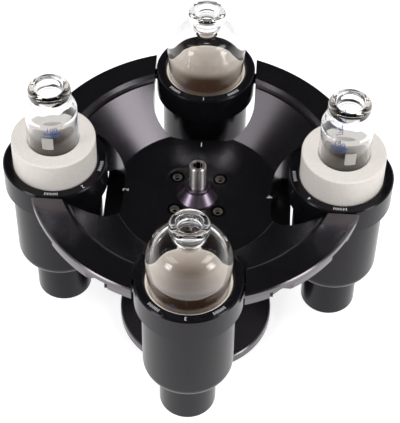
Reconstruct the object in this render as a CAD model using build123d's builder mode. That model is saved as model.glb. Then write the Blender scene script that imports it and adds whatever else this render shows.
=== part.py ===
from build123d import *
import os

# Swing-out rotor for a bench centrifuge: a bowl-shaped rotor body on a drive hub, with four
# buckets that hang on pivot pins and swing out until their axes lie level.
# Millimetres, +Z up. The origin is the centre of the foot flange's underside.
# Pocket 1 is at +Y, pocket 2 at -X, pocket 3 at -Y and pocket 4 at +X.

POCKETS = {1: 90, 2: 180, 3: 270, 4: 0}
PEAR_POCKETS = (1, 3)
CONE_POCKETS = (2, 4)

# Heights above the foot
RIM_Z = 168.0            # top of the rotor ring, and of a bucket at rest
RING_UNDER_Z = 155.0
FLOOR_Z = 139.0
LEDGE_Z = 118.0
PLATE_UNDER_Z = 106.0
FOOT_TOP_Z = 8.5

# Rotor body
RING_R = 121.5
RING_INNER_R = 101.0
BAND_DEEP = 4.8          # plain band round the ring's top edge
FLOOR_R = 60.4
PLATE_R = 88.0
RECESS_R, RECESS_DEEP = 29.0, 0.8
PILOT_R = 12.0

# Pockets, notches and pivots
STATION_R = 103.0        # rotor axis to bucket axis
PIVOT_DROP = 9.0         # pivot axis below the rim
POCKET_HALF_W = 38.3
POCKET_WALL_R = 54.0
POCKET_CORNER_R = 25.0
LEDGE_WALL_R = 69.2
NOTCH_INNER, NOTCH_W = 55.0, 12.0
PIN_R, PIN_TIP, PIN_SHANK_R, PIN_HEAD_R, PIN_HEAD_L = 4.0, 33.3, 2.7, 4.0, 2.0
PIN_RUNNING_GAP = 0.1

# Screws that hold the hub and the foot flange
HUB_SCREW_PCR, M6_SHANK_R, M6_HEAD_R, M6_HEAD_H, M6_KEY = 22.3, 3.0, 5.0, 6.0, 5.0
FOOT_SCREW_PCR, M5_SHANK_R, M5_HEAD_R, M5_KEY = 25.5, 2.5, 4.6, 3.0

# Drive hub and foot
COLUMN_R, COLUMN_FOOT_R = 28.0, 30.5
FOOT_R, FOOT_RECESS_R, FOOT_RECESS_DEEP = 59.7, 18.0, 4.0
DRIVE_BORE_R, DRIVE_BORE_TOP_Z = 8.0, 34.0
RELIEF_R, RELIEF_TOP_Z = 8.8, 62.0   # room for the clip and the screw's thread
SCREW_BORE_R = 6.1
DRIVE_PIN_R, DRIVE_PIN_PCR = 2.0, 14.0

# Tie-down screw and its flared nut
TIE_R, TIE_THREAD_R, TIE_TOP, HEX_KEY, HEX_DEEP = 6.0, 4.0, 1.0, 6.0, 7.0
NUT_FOOT_R, NUT_NECK_R, NUT_TOP = 15.2, 9.0, -19.6

# Bucket, as depths below its rim
COLLAR_R, COLLAR_DEEP = 37.5, 22.0
BODY_R, BODY_DEEP, BODY_FILLET = 32.5, 97.0, 10.2
TAIL_R, TAIL_DEEP = 20.6, 138.0
BORE_R, SEAT_DEEP, TAIL_BORE_R, BUCKET_FLOOR = 30.4, 92.0, 17.9, 3.0
GROOVE_FLOOR = 32.9      # bucket axis to the floor of a pivot groove

# Inserts and tubes
INSERT_R, INSERT_TAIL_R = 30.1, 17.6
CONE_TUBE_R, CONE_TUBE_TOP, CONE_TUBE_TIP = 18.35, 71.5, -131.0
PEAR_TUBE_R, PEAR_TUBE_TOP, PEAR_TUBE_TIP = 29.6, 57.2, -104.0
GLASS = 1.8
SEAT_GAP = 0.3

os.makedirs("parts", exist_ok=True)


def finish(part, name):
    part.label = name
    export_step(part, f"parts/{name}.step")


def station(pocket):
    """Frame of one pocket: origin on the bucket's axis at rim height, +X outwards, +Z up."""
    out = Vector(1, 0, 0).rotate(Axis.Z, POCKETS[pocket])
    return Plane(origin=out * STATION_R + Vector(0, 0, RIM_Z), x_dir=out, z_dir=(0, 0, 1))


def upright(frame):
    """The frame's radial section: x away from its axis, y up."""
    return Plane(origin=frame.origin, x_dir=frame.x_dir, z_dir=-frame.y_dir)


def crosswise(frame, along, drop=0.0):
    """A plane square to a pocket's pivot axis, `along` that axis and `drop` below the rim."""
    side = 1 if along > 0 else -1
    at = frame.origin + frame.y_dir * along - frame.z_dir * drop
    return Plane(origin=at, x_dir=frame.x_dir * -side, z_dir=frame.y_dir * side)


def turned(frame, corners):
    """A solid of revolution about the frame's axis, from (radius, height, rounding) corners."""
    with BuildPart() as body:
        with BuildSketch(upright(frame)):
            with BuildLine():
                FilletPolyline(
                    *[(r, h) for r, h, _ in corners],
                    radius=[rounding for _, _, rounding in corners],
                    close=True,
                )
            make_face()
        revolve(axis=Axis(frame.origin, frame.z_dir))
    return body.part


AXIS = Plane.XY
STATIONS = {pocket: station(pocket) for pocket in POCKETS}


# ---------------------------------------------------------------- rotor body
body_profile = turned(AXIS, [
    (PILOT_R, FLOOR_Z - RECESS_DEEP, 0),
    (RECESS_R, FLOOR_Z - RECESS_DEEP, 0),
    (RECESS_R, FLOOR_Z, 0),
    (FLOOR_R, FLOOR_Z, 1.5),
    (96.2, RIM_Z - 5.0, 0),
    (97.6, RIM_Z - 4.6, 0),
    (98.5, RIM_Z - 2.5, 0),
    (RING_INNER_R, RIM_Z, 0),
    (RING_R - 0.9, RIM_Z, 0),
    (RING_R, RIM_Z - 0.9, 0),
    (RING_R, RIM_Z - BAND_DEEP, 0),
    (RING_R - 0.9, RIM_Z - BAND_DEEP - 0.6, 0),
    (RING_R - 1.6, RING_UNDER_Z + 0.8, 0),
    (RING_R - 2.4, RING_UNDER_Z, 0),
    (107.0, RING_UNDER_Z, 4.0),
    (PLATE_R, LEDGE_Z + 1.0, 2.0),
    (PLATE_R, PLATE_UNDER_Z, 2.0),
    (PILOT_R, PLATE_UNDER_Z, 0),
])

with BuildPart() as rotor_body:
    add(body_profile)
    for frame in STATIONS.values():
        inwards = Plane(origin=(0, 0, RIM_Z), x_dir=frame.x_dir, z_dir=(0, 0, 1))
        # the pocket, open outwards, with rounded inner corners above the ledge
        with BuildSketch(inwards.offset(1.0)):
            with BuildLine():
                FilletPolyline(
                    (RING_R + 20, POCKET_HALF_W),
                    (POCKET_WALL_R, POCKET_HALF_W),
                    (POCKET_WALL_R, -POCKET_HALF_W),
                    (RING_R + 20, -POCKET_HALF_W),
                    radius=POCKET_CORNER_R,
                )
                Line((RING_R + 20, -POCKET_HALF_W), (RING_R + 20, POCKET_HALF_W))
            make_face()
        extrude(amount=LEDGE_Z - RIM_Z - 1.0, mode=Mode.SUBTRACT)
        # below the ledge the plate ends in a straight flat
        with BuildSketch(inwards.offset(LEDGE_Z - RIM_Z)):
            with Locations((LEDGE_WALL_R, 0)):
                Rectangle(RING_R, 2 * POCKET_HALF_W + 60, align=(Align.MIN, Align.CENTER))
        extrude(amount=PLATE_UNDER_Z - LEDGE_Z - 1.0, mode=Mode.SUBTRACT)
        for side in (1, -1):
            # notch in the ring's edge, under its band, for the head that holds the pin
            with BuildSketch(inwards.offset(-BAND_DEEP)):
                with Locations((STATION_R, side * NOTCH_INNER)):
                    Rectangle(
                        NOTCH_W, 20,
                        align=(Align.CENTER, Align.MIN if side > 0 else Align.MAX),
                    )
            extrude(amount=-20, mode=Mode.SUBTRACT)
            # bore for the pin through the boss
            with BuildSketch(crosswise(frame, side * (POCKET_HALF_W - 3), PIVOT_DROP)):
                Circle(PIN_SHANK_R)
            extrude(amount=NOTCH_INNER - POCKET_HALF_W + 4, mode=Mode.SUBTRACT)
    # counterbored holes for the hub screws
    with BuildSketch(AXIS.offset(FLOOR_Z - RECESS_DEEP)):
        with PolarLocations(HUB_SCREW_PCR, 4, start_angle=45):
            Circle(M6_HEAD_R + 0.4)
    extrude(amount=-M6_HEAD_H - 0.2, mode=Mode.SUBTRACT)
    with BuildSketch(AXIS.offset(FLOOR_Z - RECESS_DEEP)):
        with PolarLocations(HUB_SCREW_PCR, 4, start_angle=45):
            Circle(M6_SHANK_R + 0.3)
    extrude(amount=PLATE_UNDER_Z - FLOOR_Z, mode=Mode.SUBTRACT)
finish(rotor_body.part, "rotor_body")


# ---------------------------------------------------------------- drive hub and foot
hub_profile = turned(AXIS, [
    (DRIVE_BORE_R, FOOT_TOP_Z, 0),
    (DRIVE_BORE_R, DRIVE_BORE_TOP_Z, 0),
    (RELIEF_R, DRIVE_BORE_TOP_Z, 0),
    (RELIEF_R, RELIEF_TOP_Z, 0),
    (SCREW_BORE_R, RELIEF_TOP_Z, 0),
    (SCREW_BORE_R, FLOOR_Z - RECESS_DEEP, 0),
    (PILOT_R, FLOOR_Z - RECESS_DEEP, 0),
    (PILOT_R, PLATE_UNDER_Z, 0),
    (COLUMN_R, PLATE_UNDER_Z, 0),
    (COLUMN_R, FOOT_TOP_Z + 12.0, 0),
    (COLUMN_FOOT_R, FOOT_TOP_Z + 6.0, 0),
    (COLUMN_FOOT_R, FOOT_TOP_Z, 0),
])

with BuildPart() as drive_hub:
    add(hub_profile)
    with BuildSketch(AXIS.offset(PLATE_UNDER_Z)):
        with PolarLocations(HUB_SCREW_PCR, 4, start_angle=45):
            Circle(M6_SHANK_R)
    extrude(amount=-12, mode=Mode.SUBTRACT)
    with BuildSketch(AXIS.offset(FOOT_TOP_Z)):
        with PolarLocations(FOOT_SCREW_PCR, 4):
            Circle(M5_SHANK_R)
    extrude(amount=6, mode=Mode.SUBTRACT)
    with BuildSketch(AXIS.offset(FOOT_TOP_Z)):
        with PolarLocations(DRIVE_PIN_PCR, 2):
            Circle(DRIVE_PIN_R)
    extrude(amount=10, mode=Mode.SUBTRACT)
finish(drive_hub.part, "drive_hub")

foot_profile = turned(AXIS, [
    (DRIVE_BORE_R, FOOT_RECESS_DEEP, 0),
    (FOOT_RECESS_R, FOOT_RECESS_DEEP, 0),
    (FOOT_RECESS_R, 0, 0),
    (FOOT_R - 0.8, 0, 0),
    (FOOT_R, 0.8, 0),
    (FOOT_R, FOOT_TOP_Z - 0.8, 0),
    (FOOT_R - 0.8, FOOT_TOP_Z, 0),
    (DRIVE_BORE_R, FOOT_TOP_Z, 0),
])

with BuildPart() as foot_flange:
    add(foot_profile)
    with Locations(Plane(origin=(0, 0, 0), z_dir=(0, 0, -1))):
        with PolarLocations(FOOT_SCREW_PCR, 4):
            CounterSinkHole(
                M5_SHANK_R, M5_HEAD_R + 0.4, depth=FOOT_TOP_Z, counter_sink_angle=90
            )
    with BuildSketch(AXIS.offset(FOOT_RECESS_DEEP)):
        with PolarLocations(DRIVE_PIN_PCR, 2):
            Circle(DRIVE_PIN_R)
    extrude(amount=FOOT_TOP_Z, mode=Mode.SUBTRACT)
finish(foot_flange.part, "foot_flange")

with BuildPart() as hub_screws:
    with BuildSketch(AXIS.offset(PLATE_UNDER_Z - 11)):
        with PolarLocations(HUB_SCREW_PCR, 4, start_angle=45):
            Circle(M6_SHANK_R)
    extrude(amount=FLOOR_Z - RECESS_DEEP - M6_HEAD_H - PLATE_UNDER_Z + 11)
    with BuildSketch(AXIS.offset(FLOOR_Z - RECESS_DEEP - M6_HEAD_H - 0.2)):
        with PolarLocations(HUB_SCREW_PCR, 4, start_angle=45):
            Circle(M6_HEAD_R)
    extrude(amount=M6_HEAD_H)
    with BuildSketch(AXIS.offset(FLOOR_Z - RECESS_DEEP - 0.2)):
        with PolarLocations(HUB_SCREW_PCR, 4, start_angle=45):
            RegularPolygon(M6_KEY / 2, 6, major_radius=False)
    extrude(amount=-3.0, mode=Mode.SUBTRACT)
finish(hub_screws.part, "hub_screws")

with BuildPart() as foot_screws:
    with BuildSketch(AXIS.offset(FOOT_TOP_Z + 5.5)):
        with PolarLocations(FOOT_SCREW_PCR, 4):
            Circle(M5_SHANK_R)
    extrude(amount=-FOOT_TOP_Z - 3.0)
    with BuildSketch(AXIS.offset(0.4)):
        with PolarLocations(FOOT_SCREW_PCR, 4):
            Circle(M5_HEAD_R)
    extrude(amount=M5_HEAD_R - M5_SHANK_R, taper=45)
    with BuildSketch(AXIS.offset(0.4)):
        with PolarLocations(FOOT_SCREW_PCR, 4):
            RegularPolygon(M5_KEY / 2, 6, major_radius=False)
    extrude(amount=2.0, mode=Mode.SUBTRACT)
finish(foot_screws.part, "foot_screws")

with BuildPart() as drive_pins:
    with BuildSketch(AXIS.offset(1.0)):
        with PolarLocations(DRIVE_PIN_PCR, 2):
            Circle(DRIVE_PIN_R)
    extrude(amount=FOOT_TOP_Z + 8.0)
    chamfer(drive_pins.faces().sort_by(Axis.Z)[:2].edges(), 0.5)
finish(drive_pins.part, "drive_pins")


# ---------------------------------------------------------------- centre: flared nut, tie-down screw
RIM_CENTRE = AXIS.offset(RIM_Z)
nut_foot = FLOOR_Z - RECESS_DEEP - RIM_Z
finish(turned(RIM_CENTRE, [
    (TIE_R + 0.1, nut_foot, 0),
    (NUT_FOOT_R, nut_foot, 0),
    (NUT_FOOT_R, nut_foot + 1.2, 0),
    (NUT_NECK_R, NUT_TOP - 1.5, 3.0),
    (NUT_NECK_R, NUT_TOP, 0.6),
    (TIE_R + 0.1, NUT_TOP, 0),
]), "flared_nut")

clip_z = RELIEF_TOP_Z - RIM_Z - 1.5
tie_profile = turned(RIM_CENTRE, [
    (0, TIE_TOP, 0),
    (TIE_R - 0.7, TIE_TOP, 0),
    (TIE_R, TIE_TOP - 0.7, 0),
    (TIE_R, clip_z, 0),
    (TIE_R - 1.0, clip_z, 0),
    (TIE_R - 1.0, clip_z - 1.2, 0),
    (TIE_R, clip_z - 1.2, 0),
    (TIE_R, clip_z - 4.0, 0),
    (TIE_THREAD_R, clip_z - 6.0, 0),
    (TIE_THREAD_R, clip_z - 22.0, 0),
    (TIE_THREAD_R - 1.0, clip_z - 23.0, 0),
    (0, clip_z - 23.0, 0),
])

with BuildPart() as tie_down_screw:
    add(tie_profile)
    with BuildSketch(RIM_CENTRE.offset(TIE_TOP)):
        RegularPolygon(HEX_KEY / 2, 6, major_radius=False)
    extrude(amount=-HEX_DEEP, mode=Mode.SUBTRACT)
finish(tie_down_screw.part, "tie_down_screw")

with BuildPart() as retaining_ring:
    with BuildSketch(RIM_CENTRE.offset(clip_z - 1.1)):
        Circle(RELIEF_R - 0.8)
        Circle(TIE_R - 1.0, mode=Mode.SUBTRACT)
        with Locations((RELIEF_R, 0)):
            Rectangle(8, 4, mode=Mode.SUBTRACT)
    extrude(amount=1.0)
finish(retaining_ring.part, "retaining_ring")


# ---------------------------------------------------------------- pivot pins
def pivot_pins(frame):
    """Two pins inside a pocket, each held from its notch by a socket head on a shank."""
    with BuildPart() as pins:
        for side in (1, -1):
            with BuildSketch(crosswise(frame, side * PIN_TIP, PIVOT_DROP)):
                Circle(PIN_R)
            extrude(amount=POCKET_HALF_W - PIN_TIP)
            with BuildSketch(crosswise(frame, side * POCKET_HALF_W, PIVOT_DROP)):
                Circle(PIN_SHANK_R)
            extrude(amount=NOTCH_INNER - POCKET_HALF_W)
            with BuildSketch(crosswise(frame, side * NOTCH_INNER, PIVOT_DROP)):
                Circle(PIN_HEAD_R)
            extrude(amount=PIN_HEAD_L)
            with BuildSketch(crosswise(frame, side * (NOTCH_INNER + PIN_HEAD_L), PIVOT_DROP)):
                RegularPolygon(2.0, 6, major_radius=False)
            extrude(amount=-2.0, mode=Mode.SUBTRACT)
    tips = pins.edges().filter_by(GeomType.CIRCLE)
    near = [e for e in tips if abs(abs((e.arc_center - frame.origin).dot(frame.y_dir)) - PIN_TIP) < 0.1]
    return chamfer(near, 0.5)


for pocket, frame in STATIONS.items():
    finish(pivot_pins(frame), f"pivot_pins_{pocket}")


# ---------------------------------------------------------------- buckets
def bucket(frame):
    """A turned aluminium bucket: collar, body and tail, bored in two steps."""
    shell = turned(frame, [
        (BORE_R + 0.9, 0, 0),
        (COLLAR_R - 0.9, 0, 0),
        (COLLAR_R, -0.9, 0),
        (COLLAR_R, 0.6 - COLLAR_DEEP, 0),
        (COLLAR_R - 0.6, -COLLAR_DEEP, 0),
        (BODY_R, -COLLAR_DEEP, 0),
        (BODY_R, -BODY_DEEP, BODY_FILLET),
        (TAIL_R, -BODY_DEEP, 1.5),
        (TAIL_R, -TAIL_DEEP, 1.6),
        (0, -TAIL_DEEP, 0),
        (0, BUCKET_FLOOR - TAIL_DEEP, 0),
        (TAIL_BORE_R, BUCKET_FLOOR - TAIL_DEEP, 2.0),
        (TAIL_BORE_R, -SEAT_DEEP, 0),
        (BORE_R, -SEAT_DEEP, 5.0),
        (BORE_R, -0.9, 0),
    ])
    groove_r = PIN_R + PIN_RUNNING_GAP
    with BuildPart() as made:
        add(shell)
        # the grooves that drop over the pivot pins are open at the collar's lower edge
        for side in (1, -1):
            with BuildSketch(crosswise(frame, side * GROOVE_FLOOR, PIVOT_DROP)):
                Circle(groove_r)
                Rectangle(2 * groove_r, COLLAR_DEEP, align=(Align.CENTER, Align.MAX))
            extrude(amount=COLLAR_R, mode=Mode.SUBTRACT)
    return made.part


for pocket, frame in STATIONS.items():
    finish(bucket(frame), f"bucket_{pocket}")


# ---------------------------------------------------------------- long-cone tubes and their adapters
cone_start, cone_end, cone_end_r = -6.0, -126.0, 5.0


def cone_tube(frame):
    """A long-cone oil tube: heavy rim, short neck, straight body and a long taper to the tip."""
    return turned(frame, [
        (0, CONE_TUBE_TIP, 0),
        (cone_end_r - 0.6, CONE_TUBE_TIP, 3.4),
        (cone_end_r, cone_end, 0),
        (CONE_TUBE_R, cone_start, 8.0),
        (CONE_TUBE_R, 52.0, 6.0),
        (15.2, 60.0, 1.8),
        (14.6, 63.0, 1.2),
        (15.0, 65.5, 1.6),
        (14.9, CONE_TUBE_TOP, 2.6),
        (9.4, CONE_TUBE_TOP, 1.8),
        (8.8, 64.5, 1.5),
        (12.6, 59.0, 3.0),
        (CONE_TUBE_R - GLASS, 50.0, 5.0),
        (CONE_TUBE_R - GLASS, cone_start, 7.0),
        (cone_end_r - GLASS, cone_end, 0),
        (0, cone_end, 0),
    ])


def tube_adapter(frame):
    """A plastic sleeve from the bucket's bore down to its tail, coned to the tube."""
    gap = SEAT_GAP
    return turned(frame, [
        (CONE_TUBE_R + gap + 0.6, 22.8, 0),
        (INSERT_R, 22.8, 1.2),
        (INSERT_R, -SEAT_DEEP, 5.6),
        (INSERT_TAIL_R, -SEAT_DEEP, 0),
        (INSERT_TAIL_R, BUCKET_FLOOR - TAIL_DEEP + gap, 2.0),
        (7.6, BUCKET_FLOOR - TAIL_DEEP + gap, 0),
        (7.6, CONE_TUBE_TIP + 3.8, 0),
        (cone_end_r + gap + 0.3, CONE_TUBE_TIP + 3.8, 0),
        (CONE_TUBE_R + gap, cone_start - 0.3, 8.0),
        (CONE_TUBE_R + gap, 22.2, 0),
    ])


def tip_pad(frame):
    """A rubber pad under the tube's tip, dished to its round end."""
    return turned(frame, [
        (0, BUCKET_FLOOR - TAIL_DEEP + SEAT_GAP, 0),
        (7.5, BUCKET_FLOOR - TAIL_DEEP + SEAT_GAP, 0),
        (7.5, CONE_TUBE_TIP + 3.6, 0),
        (cone_end_r + 0.3, CONE_TUBE_TIP + 3.6, 0),
        (cone_end_r - 0.2, CONE_TUBE_TIP, 0),
        (0, CONE_TUBE_TIP, 0),
    ])


for pocket in CONE_POCKETS:
    finish(tube_adapter(STATIONS[pocket]), f"tube_adapter_{pocket}")
    finish(tip_pad(STATIONS[pocket]), f"tip_pad_{pocket}")
    finish(cone_tube(STATIONS[pocket]), f"cone_tube_{pocket}")


# ---------------------------------------------------------------- pear-shaped tubes and their cushions
stem_r, stem_top = 6.4, -60.0


def pear_tube(frame):
    """A pear-shaped oil tube: beaded mouth, domed shoulder, cone and a narrow stem."""
    return turned(frame, [
        (0, PEAR_TUBE_TIP, 0),
        (stem_r - 0.2, PEAR_TUBE_TIP, 5.0),
        (stem_r, stem_top, 9.0),
        (27.8, -8.0, 14.0),
        (PEAR_TUBE_R, 24.0, 24.0),
        (24.0, 38.2, 15.0),
        (10.2, 42.6, 3.0),
        (10.2, 48.8, 1.0),
        (13.8, 50.0, 2.6),
        (13.8, PEAR_TUBE_TOP, 3.2),
        (8.2, PEAR_TUBE_TOP, 1.8),
        (8.2, 42.2, 2.5),
        (21.8, 35.6, 12.0),
        (PEAR_TUBE_R - 1.9, 23.4, 22.0),
        (26.0, -7.4, 13.0),
        (stem_r - GLASS, stem_top + 1.0, 9.0),
        (stem_r - GLASS, PEAR_TUBE_TIP + GLASS, 3.0),
        (0, PEAR_TUBE_TIP + GLASS, 0),
    ])


def tube_cushion(frame):
    """A moulded insert that follows the pear's cone and carries its stem."""
    gap = SEAT_GAP + 0.1
    return turned(frame, [
        (28.4, -4.4, 0.5),
        (INSERT_R, -4.4, 0.6),
        (INSERT_R, -SEAT_DEEP, 5.6),
        (INSERT_TAIL_R, -SEAT_DEEP, 0),
        (INSERT_TAIL_R, -122.0, 2.0),
        (0, -122.0, 0),
        (0, PEAR_TUBE_TIP, 0),
        (stem_r + gap, PEAR_TUBE_TIP, 0),
        (stem_r + gap, stem_top, 9.0),
        (27.8 + gap, -9.2, 0),
    ])


for pocket in PEAR_POCKETS:
    finish(tube_cushion(STATIONS[pocket]), f"tube_cushion_{pocket}")
    finish(pear_tube(STATIONS[pocket]), f"pear_tube_{pocket}")
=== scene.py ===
"""Looks of the swing-out rotor: glass tubes, turned anodised aluminium, plastics, steel and numbering."""
import math

import bmesh
import bpy
from mathutils import Matrix, Vector


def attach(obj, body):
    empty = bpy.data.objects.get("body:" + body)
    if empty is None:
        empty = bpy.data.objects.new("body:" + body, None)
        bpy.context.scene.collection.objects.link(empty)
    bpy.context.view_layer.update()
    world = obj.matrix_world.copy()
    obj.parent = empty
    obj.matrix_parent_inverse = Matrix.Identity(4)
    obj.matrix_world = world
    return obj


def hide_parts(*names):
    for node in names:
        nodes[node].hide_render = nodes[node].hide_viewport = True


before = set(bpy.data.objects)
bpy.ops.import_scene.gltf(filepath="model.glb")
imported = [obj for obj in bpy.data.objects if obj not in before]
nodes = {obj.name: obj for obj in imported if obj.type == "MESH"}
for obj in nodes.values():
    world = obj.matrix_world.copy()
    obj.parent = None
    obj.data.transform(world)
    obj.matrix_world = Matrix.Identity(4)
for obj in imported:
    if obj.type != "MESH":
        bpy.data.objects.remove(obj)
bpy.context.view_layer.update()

# ------------------------------------------------------------------ places, metres
MM = 0.001
RIM_Z = 168 * MM                  # the rims of the hanging buckets
FLOOR_Z = 139 * MM                # the floor of the bowl
STATION_R = 103 * MM              # from the rotor's axis to a bucket's
POCKET_DIRECTION = {1: (0, 1), 2: (-1, 0), 3: (0, -1), 4: (1, 0)}
PEAR_POCKETS = (1, 3)
CONE_POCKETS = (2, 4)
ROTOR_AXIS = (0, 0)


def station(pocket):
    """The middle of a bucket's rim."""
    x, y = POCKET_DIRECTION[pocket]
    return Vector((x * STATION_R, y * STATION_R, RIM_Z))


# ------------------------------------------------------------------ mesh helpers
SEGMENTS = 144                    # round a turned piece
ARC_STEPS = 12                    # in a quarter turn of a rounded corner
SHARP_FROM = math.radians(35)     # edges that fold more than this stay sharp
ON_AXIS = 0.0001 * MM             # a point nearer the axis than this is on it


def new_object(name, bm):
    """A smooth-shaded object in the scene, from a bmesh that it uses up."""
    mesh = bpy.data.meshes.new(name)
    bmesh.ops.recalc_face_normals(bm, faces=bm.faces)
    bm.to_mesh(mesh)
    bm.free()
    for polygon in mesh.polygons:
        polygon.use_smooth = True
    mesh.set_sharp_from_angle(angle=SHARP_FROM)
    obj = bpy.data.objects.new(name, mesh)
    bpy.context.scene.collection.objects.link(obj)
    return obj


def rounded(corners):
    """Points of an open path of (radius, height, rounding) corners in mm, each corner as an arc."""
    points = []
    for i, (r, z, rounding) in enumerate(corners):
        here = Vector((r, z))
        if rounding == 0 or i in (0, len(corners) - 1):
            points.append(here)
            continue
        back = (Vector(corners[i - 1][:2]) - here).normalized()
        on = (Vector(corners[i + 1][:2]) - here).normalized()
        half = back.angle(on) / 2
        centre = here + (back + on).normalized() * (rounding / math.sin(half))
        reach = rounding / math.tan(half)
        start = here + back * reach - centre
        end = here + on * reach - centre
        turn = start.angle_signed(end)
        count = max(2, math.ceil(abs(turn) / math.radians(90) * ARC_STEPS))
        for k in range(count + 1):
            points.append(centre + Matrix.Rotation(-turn * k / count, 2) @ start)
    return points


def ring_of_vertices(bm, centre, radius, height):
    """The vertices of a level circle, or the one in its middle where the radius is nothing."""
    if radius < ON_AXIS:
        return [bm.verts.new(centre + Vector((0, 0, height)))]
    turns = (2 * math.pi * k / SEGMENTS for k in range(SEGMENTS))
    return [bm.verts.new(centre + Vector((radius * math.cos(t), radius * math.sin(t), height)))
            for t in turns]


def lathe(name, corners, pocket):
    """A turned piece on a bucket's axis, from a path that begins and ends on the axis."""
    bm = bmesh.new()
    rings = [ring_of_vertices(bm, station(pocket), p.x * MM, p.y * MM) for p in rounded(corners)]
    for low, high in zip(rings, rings[1:]):
        if len(low) == 1 and len(high) == 1:
            continue
        for k in range(SEGMENTS):
            n = (k + 1) % SEGMENTS
            if len(low) == 1:
                bm.faces.new((low[0], high[n], high[k]))
            elif len(high) == 1:
                bm.faces.new((low[k], low[n], high[0]))
            else:
                bm.faces.new((low[k], low[n], high[n], high[k]))
    return new_object(name, bm)


# ------------------------------------------------------------------ node helpers
MIX_A, MIX_B, MIX_OUT = 6, 7, 2   # the colour sockets of a mix node
NOISE_LOW, NOISE_HIGH = 0.3, 0.7  # noise seldom leaves this range, so ramps run across it
SLOW_ANGLE = 0.0004               # rings hardly change on the way round


def connect(tree, made, inputs):
    """Links a node's inputs to sockets, or sets them to constants."""
    for key, value in inputs.items():
        if isinstance(value, bpy.types.NodeSocket):
            tree.links.new(value, made.inputs[key])
        else:
            made.inputs[key].default_value = value


def node(tree, kind, inputs=None, **settings):
    made = tree.nodes.new(kind)
    for key, value in settings.items():
        setattr(made, key, value)
    connect(tree, made, inputs or {})
    return made


def material(name):
    mat = bpy.data.materials.new(name)
    mat.use_nodes = True
    tree = mat.node_tree
    return mat, tree, tree.nodes["Principled BSDF"]


def maths(tree, operation, *values):
    return node(tree, "ShaderNodeMath", dict(enumerate(values)), operation=operation).outputs["Value"]


def vector_maths(tree, operation, *values, result="Vector"):
    made = node(tree, "ShaderNodeVectorMath", dict(enumerate(values)), operation=operation)
    return made.outputs[result]


def object_coordinates(tree):
    return node(tree, "ShaderNodeTexCoord").outputs["Object"]


def between(tree, factor, low, high):
    """A factor from 0 to 1, carried to the range from low to high."""
    return node(tree, "ShaderNodeMapRange",
                {"Value": factor, "To Min": low, "To Max": high}).outputs["Result"]


def ramp(tree, factor, *stops):
    """A colour ramp of (position, colour or grey) stops; returns its colour socket."""
    made = node(tree, "ShaderNodeValToRGB", {"Fac": factor})
    elements = made.color_ramp.elements
    while len(elements) < len(stops):
        elements.new(0.5)
    for element, (position, colour) in zip(elements, stops):
        element.position = position
        if not isinstance(colour, tuple):
            colour = (colour, colour, colour)
        element.color = (*colour, 1)
    return made.outputs["Color"]


def mix_colour(tree, factor, a, b, blend="MIX"):
    return node(tree, "ShaderNodeMix", {0: factor, MIX_A: a, MIX_B: b},
                data_type="RGBA", blend_type=blend).outputs[MIX_OUT]


def noise(tree, vector, scale, detail, roughness):
    return node(tree, "ShaderNodeTexNoise",
                {"Vector": vector, "Scale": scale, "Detail": detail, "Roughness": roughness},
                noise_dimensions="3D").outputs["Fac"]


def bump(tree, height, strength, distance):
    return node(tree, "ShaderNodeBump",
                {"Height": height, "Strength": strength, "Distance": distance}).outputs["Normal"]


def from_axis(tree, vector, centre):
    """A vector measured from an upright axis, and its distance from that axis."""
    moved = vector_maths(tree, "SUBTRACT", vector, (*centre, 0))
    flat = vector_maths(tree, "MULTIPLY", moved, (1, 1, 0))
    return moved, vector_maths(tree, "LENGTH", flat, result="Value")


def turned_coordinates(tree, centre):
    """Radius, height and angle about an upright axis, so that noise on them runs in rings."""
    moved, radius = from_axis(tree, object_coordinates(tree), centre)
    parts = node(tree, "ShaderNodeSeparateXYZ", {"Vector": moved}).outputs
    angle = maths(tree, "MULTIPLY", maths(tree, "ARCTAN2", parts["Y"], parts["X"]), SLOW_ANGLE)
    return node(tree, "ShaderNodeCombineXYZ",
                {"X": radius, "Y": parts["Z"], "Z": angle}).outputs["Vector"]


# ------------------------------------------------------------------ materials
SEAT_BELOW_RIM = 92 * MM                           # where a cushion or adapter sits in its bucket
TAIL_TOP_Z = RIM_Z - SEAT_BELOW_RIM + 0.5 * MM     # nothing below this gets the painted bore shade
PAINTED_SHADE_STEEL = (0.012, 0.011, 0.01, 1)             # painted shade, in a socket and round a screw's head


def anodised(name, dark, light, rough, centre=ROTOR_AXIS, ior=2.05):
    """Dyed anodising over turned aluminium: near-black, with fine turning rings under a satin skin."""
    mat, tree, shader = material(name)
    rings = noise(tree, turned_coordinates(tree, centre), 2600, 2.0, 0.6)
    mottle = noise(tree, object_coordinates(tree), 90, 4.0, 0.6)
    connect(tree, shader, {
        "Base Color": ramp(tree, mottle, (NOISE_LOW, dark), (NOISE_HIGH, light)),
        "Roughness": between(tree, rings, rough - 0.03, rough + 0.04),
        "Normal": bump(tree, rings, 0.12, 0.04 * MM),
        "IOR": ior,
        "Specular Tint": (1.0, 0.92, 1.0, 1),
    })
    return mat


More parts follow.
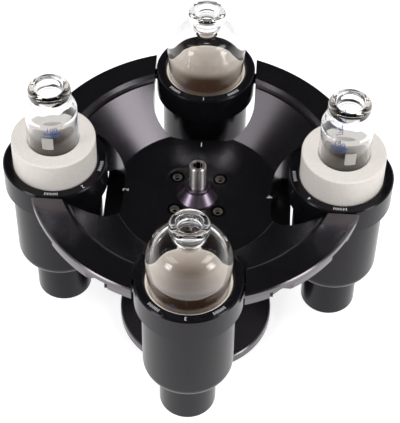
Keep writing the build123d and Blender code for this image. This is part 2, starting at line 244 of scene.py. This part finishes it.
def steel(name, colour, rough, centre=ROTOR_AXIS, bright=None, ground=0.0):
    """Turned or ground steel. `bright` is the range of radius, about `centre` and its mirror images,
    that is left unshaded; outside it the steel gets painted shade. `ground` stretches highlights along the
    axis, as fine grinding rings do."""
    mat, tree, shader = material(name)
    rings = noise(tree, turned_coordinates(tree, ROTOR_AXIS), 2200, 2.0, 0.6)
    dull = tuple(0.86 * c for c in colour)
    tint = ramp(tree, rings, (NOISE_LOW, dull), (NOISE_HIGH, colour))
    # painted shade: outside the bright radii the steel is darkened, standing in for a socket and a
    # counterbore in shadow
    if bright:
        inner, outer = bright
        folded = vector_maths(tree, "ABSOLUTE", object_coordinates(tree))
        _, radius = from_axis(tree, folded, centre)
        past = maths(tree, "GREATER_THAN", radius, inner)
        short = maths(tree, "LESS_THAN", radius, outer)
        tint = mix_colour(tree, maths(tree, "MULTIPLY", past, short), PAINTED_SHADE_STEEL, tint)
    if ground:
        tangent = node(tree, "ShaderNodeTangent", direction_type="RADIAL", axis="Z")
        connect(tree, shader, {
            "Tangent": tangent.outputs["Tangent"],
            "Anisotropic": ground,
            "Anisotropic Rotation": 0.25,
        })
    connect(tree, shader, {
        "Base Color": tint,
        "Roughness": between(tree, rings, rough * 0.75, rough * 1.3),
        "Normal": bump(tree, rings, 0.25, 0.03 * MM),
        "Metallic": 1.0,
    })
    return mat


def plastic(name, shade, colour, rough, grain, subsurface, centre, rings_scale=900, inside=None):
    """Moulded plastic. `inside` gives the bore's radius, the heights between which its wall goes from
    fully shaded to clean, and the colour of the painted shade that darkens the bore towards its foot."""
    mat, tree, shader = material(name)
    mottle = noise(tree, object_coordinates(tree), grain, 5.0, 0.6)
    tint = ramp(tree, mottle, (NOISE_LOW, shade), (NOISE_HIGH, colour))
    turned = turned_coordinates(tree, centre)
    # painted shade: a bore's wall darkens towards its foot, as a deep hole is shaded
    if inside:
        bore, low, high, shade_colour = inside
        at = node(tree, "ShaderNodeSeparateXYZ", {"Vector": turned}).outputs
        radius, height = at["X"], at["Y"]
        depth = node(tree, "ShaderNodeMapRange",
                     {"Value": height, "From Min": high, "From Max": low}).outputs["Result"]
        within = maths(tree, "LESS_THAN", radius, bore)
        above = maths(tree, "GREATER_THAN", height, TAIL_TOP_Z)
        shade_amount = maths(tree, "MULTIPLY", depth, maths(tree, "MULTIPLY", within, above))
        shaded_tint = mix_colour(tree, 1.0, tint, (*shade_colour, 1), "MULTIPLY")
        tint = mix_colour(tree, shade_amount, tint, shaded_tint)
    rings = noise(tree, turned, rings_scale, 2.0, 0.5)
    connect(tree, shader, {
        "Base Color": tint,
        "Roughness": between(tree, mottle, rough - 0.06, rough + 0.08),
        "Normal": bump(tree, rings, 0.2, 0.06 * MM),
        "Subsurface Weight": subsurface,
        "Subsurface Radius": (0.9, 0.6, 0.4),
        "Subsurface Scale": 2 * MM,
    })
    return mat


def glass(name):
    """Clear borosilicate. It lets lamp light through, so what stands inside isn't in its shadow, and
    it is clear to rays that have already been reflected twice, so that none ends in it."""
    mat, tree, shader = material(name)
    waves = noise(tree, object_coordinates(tree), 55, 1.0, 0.4)
    smear = noise(tree, object_coordinates(tree), 120, 3.0, 0.6)
    connect(tree, shader, {
        "Base Color": (0.945, 0.95, 0.955, 1),
        "Roughness": between(tree, smear, 0.0, 0.03),
        "Normal": bump(tree, waves, 0.10, 0.4 * MM),
        "Transmission Weight": 1.0,
        "IOR": 1.47,
    })
    clear = node(tree, "ShaderNodeBsdfTransparent", {"Color": (0.99, 0.99, 0.99, 1)})
    path = node(tree, "ShaderNodeLightPath").outputs
    twice = maths(tree, "GREATER_THAN", path["Glossy Depth"], 1.5)
    faint = maths(tree, "MAXIMUM", path["Is Shadow Ray"], path["Is Diffuse Ray"])
    through = maths(tree, "MAXIMUM", faint, twice)
    mix = node(tree, "ShaderNodeMixShader",
               {0: through, 1: shader.outputs["BSDF"], 2: clear.outputs["BSDF"]})
    tree.links.new(mix.outputs["Shader"], tree.nodes["Material Output"].inputs["Surface"])
    return mat


def ink(name, colour, worn, rough):
    """Screen ink or engraving fill with thin and thick places."""
    mat, tree, shader = material(name)
    patch = noise(tree, object_coordinates(tree), 1400, 4.0, 0.7)
    connect(tree, shader, {
        "Base Color": ramp(tree, patch, (NOISE_LOW, worn), (0.55, colour)),
        "Roughness": rough,
    })
    return mat


def assign(obj, mat):
    """Gives an object one material, in place of any that it has."""
    for slot in obj.material_slots:
        slot.material = mat
    if not obj.material_slots:
        obj.data.materials.append(mat)


def dress(mat, *names):
    """Gives nodes of the frame a material."""
    for name in names:
        assign(nodes[name], mat)


# ------------------------------------------------------------------ metal
SATIN = 0.2                                    # roughness of the anodising
BODY_BLACK = ((0.0022, 0.0021, 0.0026), (0.0042, 0.004, 0.0048))
BUCKET_BLACK = ((0.004, 0.0037, 0.0045), (0.007, 0.0065, 0.008))
BUCKET_IOR = 1.3
TIE_BRIGHT = (3.3 * MM, 10 * MM)               # radii between the post's socket and its outside; the socket gets painted shade
SCREW_BRIGHT = (2.2 * MM, 3.5 * MM)            # radii between a screw's socket and its head's edge; the socket and the ring round the head get painted shade
HUB_SCREW_AT = 22.3 * MM * math.sqrt(0.5)      # the screws are on the diagonals

dress(anodised("anodised_body", *BODY_BLACK, SATIN), "rotor_body", "drive_hub", "foot_flange")
for pocket in POCKET_DIRECTION:
    dress(anodised(f"anodised_bucket_{pocket}", *BUCKET_BLACK, SATIN, station(pocket).xy, BUCKET_IOR),
          f"bucket_{pocket}")
dress(steel("anodised_nut", (0.2, 0.16, 0.21), 0.3), "flared_nut")
dress(steel("polished_steel", (0.86, 0.81, 0.79), 0.38, bright=TIE_BRIGHT, ground=0.9), "tie_down_screw")
dress(steel("pin_steel", (0.55, 0.55, 0.56), 0.3), "drive_pins", "retaining_ring")
dress(steel("pin_black", (0.035, 0.034, 0.036), 0.3), *(f"pivot_pins_{p}" for p in POCKET_DIRECTION))
dress(steel("screw_steel", (0.62, 0.57, 0.52), 0.4, (HUB_SCREW_AT, HUB_SCREW_AT), bright=SCREW_BRIGHT),
      "hub_screws")
dress(steel("foot_screw_steel", (0.5, 0.46, 0.42), 0.3), "foot_screws")

# ------------------------------------------------------------------ adapters, cushions and pads
# painted shade in the bores of the adapters and cushions: bore radius, fully shaded height, clean height,
# shade colour
ADAPTER_BORE_SHADE = (19.6 * MM, RIM_Z - 4 * MM, RIM_Z + 22 * MM, (0.36, 0.3, 0.25))
CUSHION_BORE_SHADE = (28.8 * MM, RIM_Z - 30 * MM, RIM_Z - 4 * MM, (0.16, 0.095, 0.06))
for pocket in CONE_POCKETS:
    centre = station(pocket).xy
    dress(plastic(f"adapter_plastic_{pocket}", (0.74, 0.695, 0.645), (0.80, 0.755, 0.705), 0.45, 420, 0.15,
                  centre, inside=ADAPTER_BORE_SHADE), f"tube_adapter_{pocket}")
    dress(plastic(f"pad_rubber_{pocket}", (0.02, 0.02, 0.02), (0.035, 0.035, 0.035), 0.7, 400, 0.0, centre),
          f"tip_pad_{pocket}")

# Turned outlines have (radius, height above the bucket's rim, rounding) corners, in mm.
TAIL_R, TAIL_FOOT, SEAT = 17.6, -122, -92
CUSHION_R, CUSHION_TOP = 30.1, -2.2
STEM_HOLE_R, STEM_HOLE_FOOT = 6.8, -104.1      # the foot is 0.1 mm under the glass's
CUSHION = [
    (0, TAIL_FOOT, 0), (TAIL_R, TAIL_FOOT, 2), (TAIL_R, SEAT, 0), (CUSHION_R, SEAT, 5.6),
    (CUSHION_R, CUSHION_TOP, 0.6), (28.9, CUSHION_TOP, 0.5), (28.2, -9.2, 0),
    (STEM_HOLE_R, -60, 9), (STEM_HOLE_R, STEM_HOLE_FOOT, 0), (0, STEM_HOLE_FOOT, 0),
]
for pocket in PEAR_POCKETS:
    cushion = lathe(f"cushion_moulding_{pocket}", CUSHION, pocket)
    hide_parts(f"tube_cushion_{pocket}")
    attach(cushion, f"cushion_{pocket}")
    assign(cushion, plastic(f"cushion_{pocket}", (0.93, 0.82, 0.71), (0.96, 0.87, 0.77), 0.5, 420, 0.2,
                            station(pocket).xy, 500, CUSHION_BORE_SHADE))

# ------------------------------------------------------------------ glass tubes
# The glass is thick under a tube's shoulder, where it bends the light most.
tube_glass = glass("tube_glass")
CONE_R, CONE_TOP, CONE_FOOT, CONE_INNER_FOOT = 18.35, 71.5, -131, -126
CONE_TUBE = [
    # outside, upwards
    (0, CONE_FOOT, 0), (4.4, CONE_FOOT, 3.4), (5.0, CONE_INNER_FOOT, 0), (CONE_R, -6, 8), (CONE_R, 52, 6),
    (15.2, 60, 1.8), (14.6, 63, 1.2), (15.0, 65.5, 1.6), (14.9, CONE_TOP, 2.6),
    # inside, downwards
    (9.4, CONE_TOP, 1.8), (8.8, 62, 3), (12.6, 55.5, 5), (16.6, 46, 9), (16.75, -6, 7),
    (3.2, CONE_INNER_FOOT, 0), (0, CONE_INNER_FOOT, 0),
]
PEAR_R, PEAR_TOP, PEAR_FOOT, PEAR_INNER_FOOT = 29.6, 57.2, -104, -102.2
PEAR_MOUTH_R, PEAR_BEAD_R, PEAR_NECK_R, PEAR_STEM_R = 8.2, 13.8, 10.2, 4.6
PEAR_TUBE = [
    # outside, upwards
    (0, PEAR_FOOT, 0), (6.2, PEAR_FOOT, 5), (6.4, -60, 9), (27.8, -8, 14), (PEAR_R, 24, 24),
    (24.0, 38.2, 15), (PEAR_NECK_R, 42.6, 3), (PEAR_NECK_R, 48.8, 1), (PEAR_BEAD_R, 50, 2.6),
    (PEAR_BEAD_R, PEAR_TOP, 3.2),
    # inside, downwards
    (PEAR_MOUTH_R, PEAR_TOP, 1.8), (PEAR_MOUTH_R, 38.6, 3.0), (20.5, 34.8, 13), (28.5, 19, 22),
    (26.6, -7.7, 13.5), (PEAR_STEM_R, -59, 9), (PEAR_STEM_R, PEAR_INNER_FOOT, 3), (0, PEAR_INNER_FOOT, 0),
]
for pockets, kind, corners in ((CONE_POCKETS, "cone", CONE_TUBE), (PEAR_POCKETS, "pear", PEAR_TUBE)):
    for pocket in pockets:
        tube = lathe(f"{kind}_tube_glass_{pocket}", corners, pocket)
        assign(tube, tube_glass)
        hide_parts(f"{kind}_tube_{pocket}")
        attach(tube, f"{kind}_{pocket}")

# ------------------------------------------------------------------ printing
# Numbers and bars are drawn flat, +X along a line and +Y up, and a `place` carries them to the part.
PROUD = 0.03 * MM                 # the thickness of ink
OFF_GLASS = 0.7 * PROUD           # from the glass to the middle of the ink
RIM_PRINT_R = 34 * MM             # the ring on a bucket's rim that carries its print


def lettering(name, text, size, place):
    """A number as a thin mesh."""
    curve = bpy.data.curves.new(name + "_curve", "FONT")
    curve.body = text
    curve.size = size
    curve.align_x = "CENTER"
    curve.align_y = "CENTER"
    curve.extrude = PROUD / 2
    curve.resolution_u = 4
    flat = bpy.data.objects.new(name + "_flat", curve)
    bpy.context.scene.collection.objects.link(flat)
    bpy.context.view_layer.update()
    mesh = bpy.data.meshes.new_from_object(flat.evaluated_get(bpy.context.evaluated_depsgraph_get()))
    bpy.data.objects.remove(flat)
    bpy.data.curves.remove(curve)
    for vertex in mesh.vertices:
        vertex.co = place(vertex.co)
    mesh.name = name
    obj = bpy.data.objects.new(name, mesh)
    bpy.context.scene.collection.objects.link(obj)
    return obj


def bars(name, rows):
    """Thin closed bars as one piece. A row is a bar's low and high corner, its place, and the number
    of steps in which it follows a curved surface."""
    bm = bmesh.new()
    for low, high, place, steps in rows:
        columns = []
        for k in range(steps + 1):
            x = low[0] + (high[0] - low[0]) * k / steps
            section = ((low[1], -PROUD / 2), (high[1], -PROUD / 2), (high[1], PROUD / 2), (low[1], PROUD / 2))
            columns.append([bm.verts.new(place(Vector((x, y, z)))) for y, z in section])
        bm.faces.new(columns[0])
        bm.faces.new(columns[-1][::-1])
        for a, b in zip(columns, columns[1:]):
            for k in range(4):
                n = (k + 1) % 4
                bm.faces.new((a[k], b[k], b[n], a[n]))
    return new_object(name, bm)


def on_floor(pocket, radius):
    """The bowl's floor beside a pocket, with up pointing outwards."""
    x, y = POCKET_DIRECTION[pocket]
    out = Vector((x, y, 0))
    across = Vector((y, -x, 0))
    return lambda p: out * (radius + p.y) + across * p.x + Vector((0, 0, FLOOR_Z + PROUD / 2 + p.z))


def on_rim(pocket, facing):
    """A bucket's rim, with up pointing away from the bucket's axis."""
    at = station(pocket)

    def place(p):
        angle = math.radians(facing) - p.x / RIM_PRINT_R
        r = RIM_PRINT_R + p.y
        return at + Vector((r * math.cos(angle), r * math.sin(angle), PROUD / 2 + p.z))
    return place


def on_tube(pocket, facing, radius, height=0.0, slope=0.0):
    """A tube's outside, read from outside, `height` above the rim, leaning in by `slope`."""
    at = station(pocket)

    def place(p):
        r = radius + OFF_GLASS + p.z - slope * p.y
        angle = math.radians(facing) + p.x / radius
        return at + Vector((r * math.cos(angle), r * math.sin(angle), height + p.y))
    return place


def printed(obj, mat, body):
    """Print in its ink, riding on a body."""
    assign(obj, mat)
    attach(obj, body)


engraving = ink("engraving_white", (0.75, 0.75, 0.76), (0.4, 0.4, 0.41), 0.5)
blue_ink = ink("tube_ink_blue", (0.05, 0.1, 0.3), (0.09, 0.16, 0.4), 0.35)
grey_enamel = ink("tube_enamel_white", (0.46, 0.44, 0.41), (0.38, 0.36, 0.33), 0.6)

# the pockets' numbers, nearer the middle beside the pear tubes
for pocket in POCKET_DIRECTION:
    radius = 49 * MM if pocket in PEAR_POCKETS else 52.5 * MM
    printed(lettering(f"floor_number_{pocket}", str(pocket), 6.2 * MM, on_floor(pocket, radius)),
            engraving, "rotor")

# the rims' numbers, in degrees round the bucket, with a row of index bars to both sides
RIM_FACING = {1: -90, 2: -48, 3: -90, 4: -132}
INDEX_ASIDE = 40                  # degrees from the number to the middle of a row
INDEX_PITCH, INDEX_HALF_W = 1.1 * MM, 0.2 * MM
for pocket, facing in RIM_FACING.items():
    body = f"bucket_{pocket}"
    printed(lettering(f"rim_number_{pocket}", str(pocket), 4.2 * MM, on_rim(pocket, facing)), engraving, body)
    rows = []
    for side in (-1, 1):
        place = on_rim(pocket, facing + side * INDEX_ASIDE)
        for k in range(-4, 5):
            x = k * INDEX_PITCH
            half = 1.3 * MM if k % 2 == 0 else 0.8 * MM
            rows.append(((x - INDEX_HALF_W, -half), (x + INDEX_HALF_W, half), place, 1))
    printed(bars(f"rim_index_{pocket}", rows), engraving, body)

# the cone tubes' scale, its numbers, a second number over three rules, and an enamel spot
SCALE_FACING = {2: -15, 4: 95}
SCALE_NUMBER_ASIDE = 22           # degrees from the scale to its numbers
SIDE_FACING = {2: -82, 4: -108}
SPOT_FACING = {2: -93, 4: -80}
SCALE_FOOT, SCALE_PITCH, SCALE_STEPS, MARK_HALF_W = 25 * MM, 2.2 * MM, 10, 0.3 * MM
RULE_FOOT, RULE_PITCH, RULE_W, RULE_HALF_LENGTH = 40.8 * MM, 1.6 * MM, 0.7 * MM, 5.8 * MM
for pocket in CONE_POCKETS:
    body = f"cone_{pocket}"
    place = on_tube(pocket, SCALE_FACING[pocket], CONE_R * MM)
    rows = []
    for k in range(SCALE_STEPS + 1):
        at = SCALE_FOOT + k * SCALE_PITCH
        length = 5.2 * MM if k % 5 == 0 else 3.4 * MM
        rows.append(((0, at - MARK_HALF_W), (length, at + MARK_HALF_W), place, 4))
    top = SCALE_FOOT + SCALE_STEPS * SCALE_PITCH + MARK_HALF_W
    rows.append(((-0.6 * MM, SCALE_FOOT - MARK_HALF_W), (-0.1 * MM, top), place, 1))
    printed(bars(f"cone_scale_{pocket}", rows), blue_ink, body)
    for text, height in (("100", 45.5 * MM), ("90", 34.5 * MM)):
        place = on_tube(pocket, SCALE_FACING[pocket] + SCALE_NUMBER_ASIDE, CONE_R * MM, height)
        printed(lettering(f"cone_number_{text}_{pocket}", text, 5.8 * MM, place), blue_ink, body)
    place = on_tube(pocket, SIDE_FACING[pocket], CONE_R * MM, 47.5 * MM)
    printed(lettering(f"cone_side_number_{pocket}", "100", 5.6 * MM, place), blue_ink, body)
    place = on_tube(pocket, SIDE_FACING[pocket], CONE_R * MM)
    rows = []
    for k in range(3):
        low = RULE_FOOT + k * RULE_PITCH
        rows.append(((-RULE_HALF_LENGTH, low), (RULE_HALF_LENGTH, low + RULE_W), place, 8))
    printed(bars(f"cone_side_rules_{pocket}", rows), blue_ink, body)
    place = on_tube(pocket, SPOT_FACING[pocket], CONE_R * MM)
    rows = [((-4 * MM, 28.5 * MM), (4 * MM, 39.5 * MM), place, 12)]
    printed(bars(f"cone_marking_spot_{pocket}", rows), grey_enamel, body)

# the pear tubes' short scale, at the rim, where the glass widens upwards
PEAR_SCALE_FACING = {1: -122, 3: -112}
PEAR_SCALE_R, PEAR_SCALE_FOOT, PEAR_LEAN = 28.62 * MM, -1 * MM, -0.05
PEAR_SCALE_PITCH, PEAR_MARK_HALF_W = 1.5 * MM, 0.2 * MM
for pocket in PEAR_POCKETS:
    place = on_tube(pocket, PEAR_SCALE_FACING[pocket], PEAR_SCALE_R, PEAR_SCALE_FOOT, PEAR_LEAN)
    rows = []
    for k in range(5):
        at = k * PEAR_SCALE_PITCH
        length = 3 * MM if k % 2 == 0 else 1.8 * MM
        rows.append(((0, at - PEAR_MARK_HALF_W), (length, at + PEAR_MARK_HALF_W), place, 3))
    printed(bars(f"pear_scale_{pocket}", rows), blue_ink, f"pear_{pocket}")

# ------------------------------------------------------------------ stage
STAGE_HALF_W = 6.0
STAGE_Z = -0.2 * MM
STAGE_GLOW = 0.6                  # what the floor adds when it is seen, directly or in the part
bm = bmesh.new()
bmesh.ops.create_grid(bm, x_segments=1, y_segments=1, size=STAGE_HALF_W)
floor = new_object("stage_floor", bm)
floor.location.z = STAGE_Z
floor_mat, tree, shader = material("stage_white")
path = node(tree, "ShaderNodeLightPath").outputs
seen = maths(tree, "MAXIMUM", path["Is Camera Ray"], path["Is Glossy Ray"])
seen = maths(tree, "MAXIMUM", seen, path["Is Transmission Ray"])
connect(tree, shader, {
    "Base Color": (0.82, 0.82, 0.82, 1),
    "Roughness": 0.9,
    "Specular IOR Level": 0.0,
    "Emission Color": (1, 1, 1, 1),
    "Emission Strength": maths(tree, "MULTIPLY", seen, STAGE_GLOW),
})
floor.data.materials.append(floor_mat)

# ------------------------------------------------------------------ lamps
AIM = Vector((0, 0, 0.13))
LAMP_DISTANCE = 1.4
# azimuth and elevation in degrees, width and height in metres, radiance
LAMPS = {
    "lamp_right_high": (-10, 56, 0.52, 0.46, 3.7),
    "lamp_left_high": (202, 57, 0.52, 0.46, 1.9),
    "lamp_right_low": (-26, 27, 0.36, 0.6, 7.5),
    "lamp_left_low": (217, 27, 0.36, 0.6, 7.5),
}


def softbox(name, azimuth, elevation, width, height, radiance):
    """A rectangular lamp of a given brightness, in a direction from the object and facing it."""
    a, e = math.radians(azimuth), math.radians(elevation)
    away = Vector((math.cos(e) * math.cos(a), math.cos(e) * math.sin(a), math.sin(e)))
    light = bpy.data.lights.new(name, "AREA")
    light.shape = "RECTANGLE"
    light.size = width
    light.size_y = height
    light.energy = radiance * math.pi * width * height
    lamp = bpy.data.objects.new(name, light)
    lamp.location = AIM + away * LAMP_DISTANCE
    lamp.rotation_euler = (-away).to_track_quat("-Z", "Y").to_euler()
    bpy.context.scene.collection.objects.link(lamp)


for name, values in LAMPS.items():
    softbox(name, *values)

# ------------------------------------------------------------------ world
# Reflections see bright walls and a dark ceiling, the camera sees white, and the rest is even light.
WALLS = ((0.0, 1.0), (0.22, 0.9), (0.5, 0.018), (1.0, 0.015))      # (height of direction, grey)
EVEN_LIGHT = (0.66, 0.66, 0.67, 1)
world = bpy.data.worlds.new("studio")
bpy.context.scene.world = world
world.use_nodes = True
tree = world.node_tree
direction = node(tree, "ShaderNodeTexCoord").outputs["Generated"]
height = node(tree, "ShaderNodeSeparateXYZ", {"Vector": direction}).outputs["Z"]
path = node(tree, "ShaderNodeLightPath").outputs
mirrored = maths(tree, "MAXIMUM", path["Is Glossy Ray"], path["Is Transmission Ray"])
lit = mix_colour(tree, mirrored, EVEN_LIGHT, ramp(tree, height, *WALLS))
connect(tree, tree.nodes["Background"], {
    "Color": mix_colour(tree, path["Is Camera Ray"], lit, (1, 1, 1, 1)),
})

# ------------------------------------------------------------------ camera, as fitted to the photograph
SENSOR_MM, LENS_MM = 36, 127.45
CAMERA_AT = Vector((0.0339, -0.7312, 0.9548))
RIGHT = Vector((0.9982, 0.0584, 0.0131))
DOWN = Vector((0.0526, -0.7506, -0.6586))
FORWARD = Vector((-0.0286, 0.6581, -0.7524))
camera_data = bpy.data.cameras.new("camera")
camera_data.sensor_width = SENSOR_MM
camera_data.lens = LENS_MM
camera_data.clip_end = 20
camera = bpy.data.objects.new("camera", camera_data)
bpy.context.scene.collection.objects.link(camera)
axes = Matrix((RIGHT, -DOWN, -FORWARD)).transposed().to_4x4()
camera.matrix_world = Matrix.Translation(CAMERA_AT) @ axes
bpy.context.scene.camera = camera
bpy.context.scene.view_settings.view_transform = "Standard"
